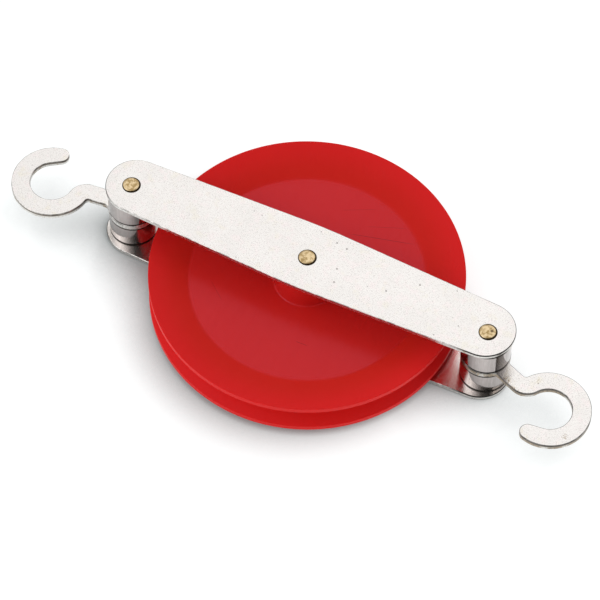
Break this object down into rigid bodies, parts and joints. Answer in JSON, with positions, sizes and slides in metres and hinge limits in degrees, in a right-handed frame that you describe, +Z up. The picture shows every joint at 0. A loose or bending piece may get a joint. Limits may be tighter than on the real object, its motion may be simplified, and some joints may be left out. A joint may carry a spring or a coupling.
{
  "type": "single sheave pulley block",
  "caption": "Pulley block: a grooved plastic sheave on a pin between two long flat steel side plates, with a flat swivel hook at each end.",
  "frame": {"origin": "the sheave's axis at the outer face of the axle pin's lower head, the plane that the block lies on", "axes": "+Z up along the sheave's axis; X along the side plates, -X towards the left hook and +X towards the right hook"},
  "size_m": [0.2033, 0.1, 0.0253],
  "materials": {
    "nickel_plate": "nickel-plated sheet steel, satin",
    "bright_nickel": "nickel-plated turned steel, bright",
    "brass": "peened, hammer-marked",
    "red_plastic": "moulded, semi-gloss"
  },
  "bodies": {
    "frame": {"upper_side_plate": "nickel_plate", "lower_side_plate": "nickel_plate", "axle_pin": "brass", "left_end_pin": "brass", "right_end_pin": "brass"},
    "sheave": {"sheave": "red_plastic"},
    "left_hook": {"left_hook": "nickel_plate"},
    "right_hook": {"right_hook": "nickel_plate"},
    "left_lower_spacer": {"left_lower_spacer": "bright_nickel"},
    "left_upper_spacer": {"left_upper_spacer": "bright_nickel"},
    "right_lower_spacer": {"right_lower_spacer": "bright_nickel"},
    "right_upper_spacer": {"right_upper_spacer": "bright_nickel"}
  },
  "joints": [
    {"name": "sheave_spin", "type": "hinge", "parent": "frame", "child": "sheave", "pos_m": [0, 0, 0.0103], "axis": [0, 0, 1], "continuous": true},
    {"name": "left_hook_swivel", "type": "hinge", "parent": "frame", "child": "left_hook", "pos_m": [-0.0618, 0, 0.01205], "axis": [0, 0, 1], "range_deg": [-111.1, 98.9]},
    {"name": "right_hook_swivel", "type": "hinge", "parent": "frame", "child": "right_hook", "pos_m": [0.0618, 0, 0.01205], "axis": [0, 0, 1], "range_deg": [-83.8, 126.2]},
    {"name": "left_lower_spacer_turn", "type": "hinge", "parent": "frame", "child": "left_lower_spacer", "pos_m": [-0.0618, 0, 0.00645], "axis": [0, 0, 1], "continuous": true},
    {"name": "left_upper_spacer_turn", "type": "hinge", "parent": "frame", "child": "left_upper_spacer", "pos_m": [-0.0618, 0, 0.01765], "axis": [0, 0, 1], "continuous": true},
    {"name": "right_lower_spacer_turn", "type": "hinge", "parent": "frame", "child": "right_lower_spacer", "pos_m": [0.0618, 0, 0.00645], "axis": [0, 0, 1], "continuous": true},
    {"name": "right_upper_spacer_turn", "type": "hinge", "parent": "frame", "child": "right_upper_spacer", "pos_m": [0.0618, 0, 0.01765], "axis": [0, 0, 1], "continuous": true}
  ]
}
